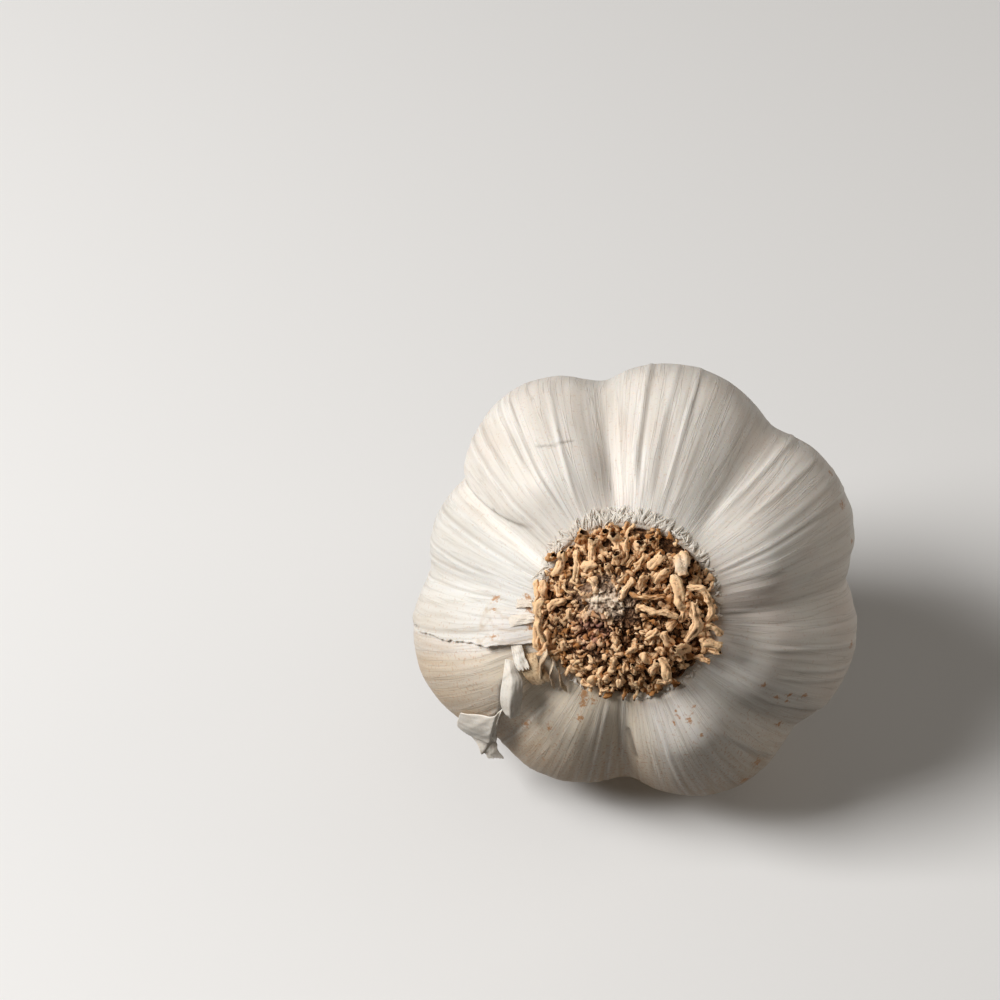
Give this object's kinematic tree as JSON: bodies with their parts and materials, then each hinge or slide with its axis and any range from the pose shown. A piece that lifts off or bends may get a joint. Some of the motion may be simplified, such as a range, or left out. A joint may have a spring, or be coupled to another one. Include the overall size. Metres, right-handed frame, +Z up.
{
  "type": "garlic bulb",
  "caption": "Dried garlic bulb lying on its side, root end up and forward: papery white skin over lobed cloves, a mat of dried roots and a short cut neck.",
  "frame": {"origin": "middle of the footprint, on the surface that the bulb lies on", "axes": "+Z up; the root end faces -Y and is raised, the neck points along +Y and its tip touches the surface; +X is to the right for someone who faces the root end"},
  "size_m": [0.0622, 0.0718, 0.057],
  "materials": {
    "papery_skin": "thin dry skin, ivory white with fine raised veins, soft satin",
    "dry_neck": "dried fibrous stalk, tan, matte",
    "corky_plate": "rough cork, matte",
    "dry_root": "dried wrinkled root, straw to brown, matte",
    "torn_skin": "thin torn papery skin, matte"
  },
  "bodies": {
    "root": {"bulb": "papery_skin", "neck": "dry_neck", "root_plate": "corky_plate", "root_mat": "dry_root", "root_loop": "dry_root", "root_strand_upper": "dry_root", "root_strand_middle": "dry_root", "root_strand_across": "dry_root", "root_strand_inner": "dry_root", "root_hook": "dry_root", "root_spur_right": "dry_root", "root_spur_low": "dry_root", "root_strand_left": "dry_root", "skin_tatter": "torn_skin", "skin_curl": "torn_skin", "skin_flap": "torn_skin", "skin_scrap": "torn_skin"}
  },
  "joints": []
}
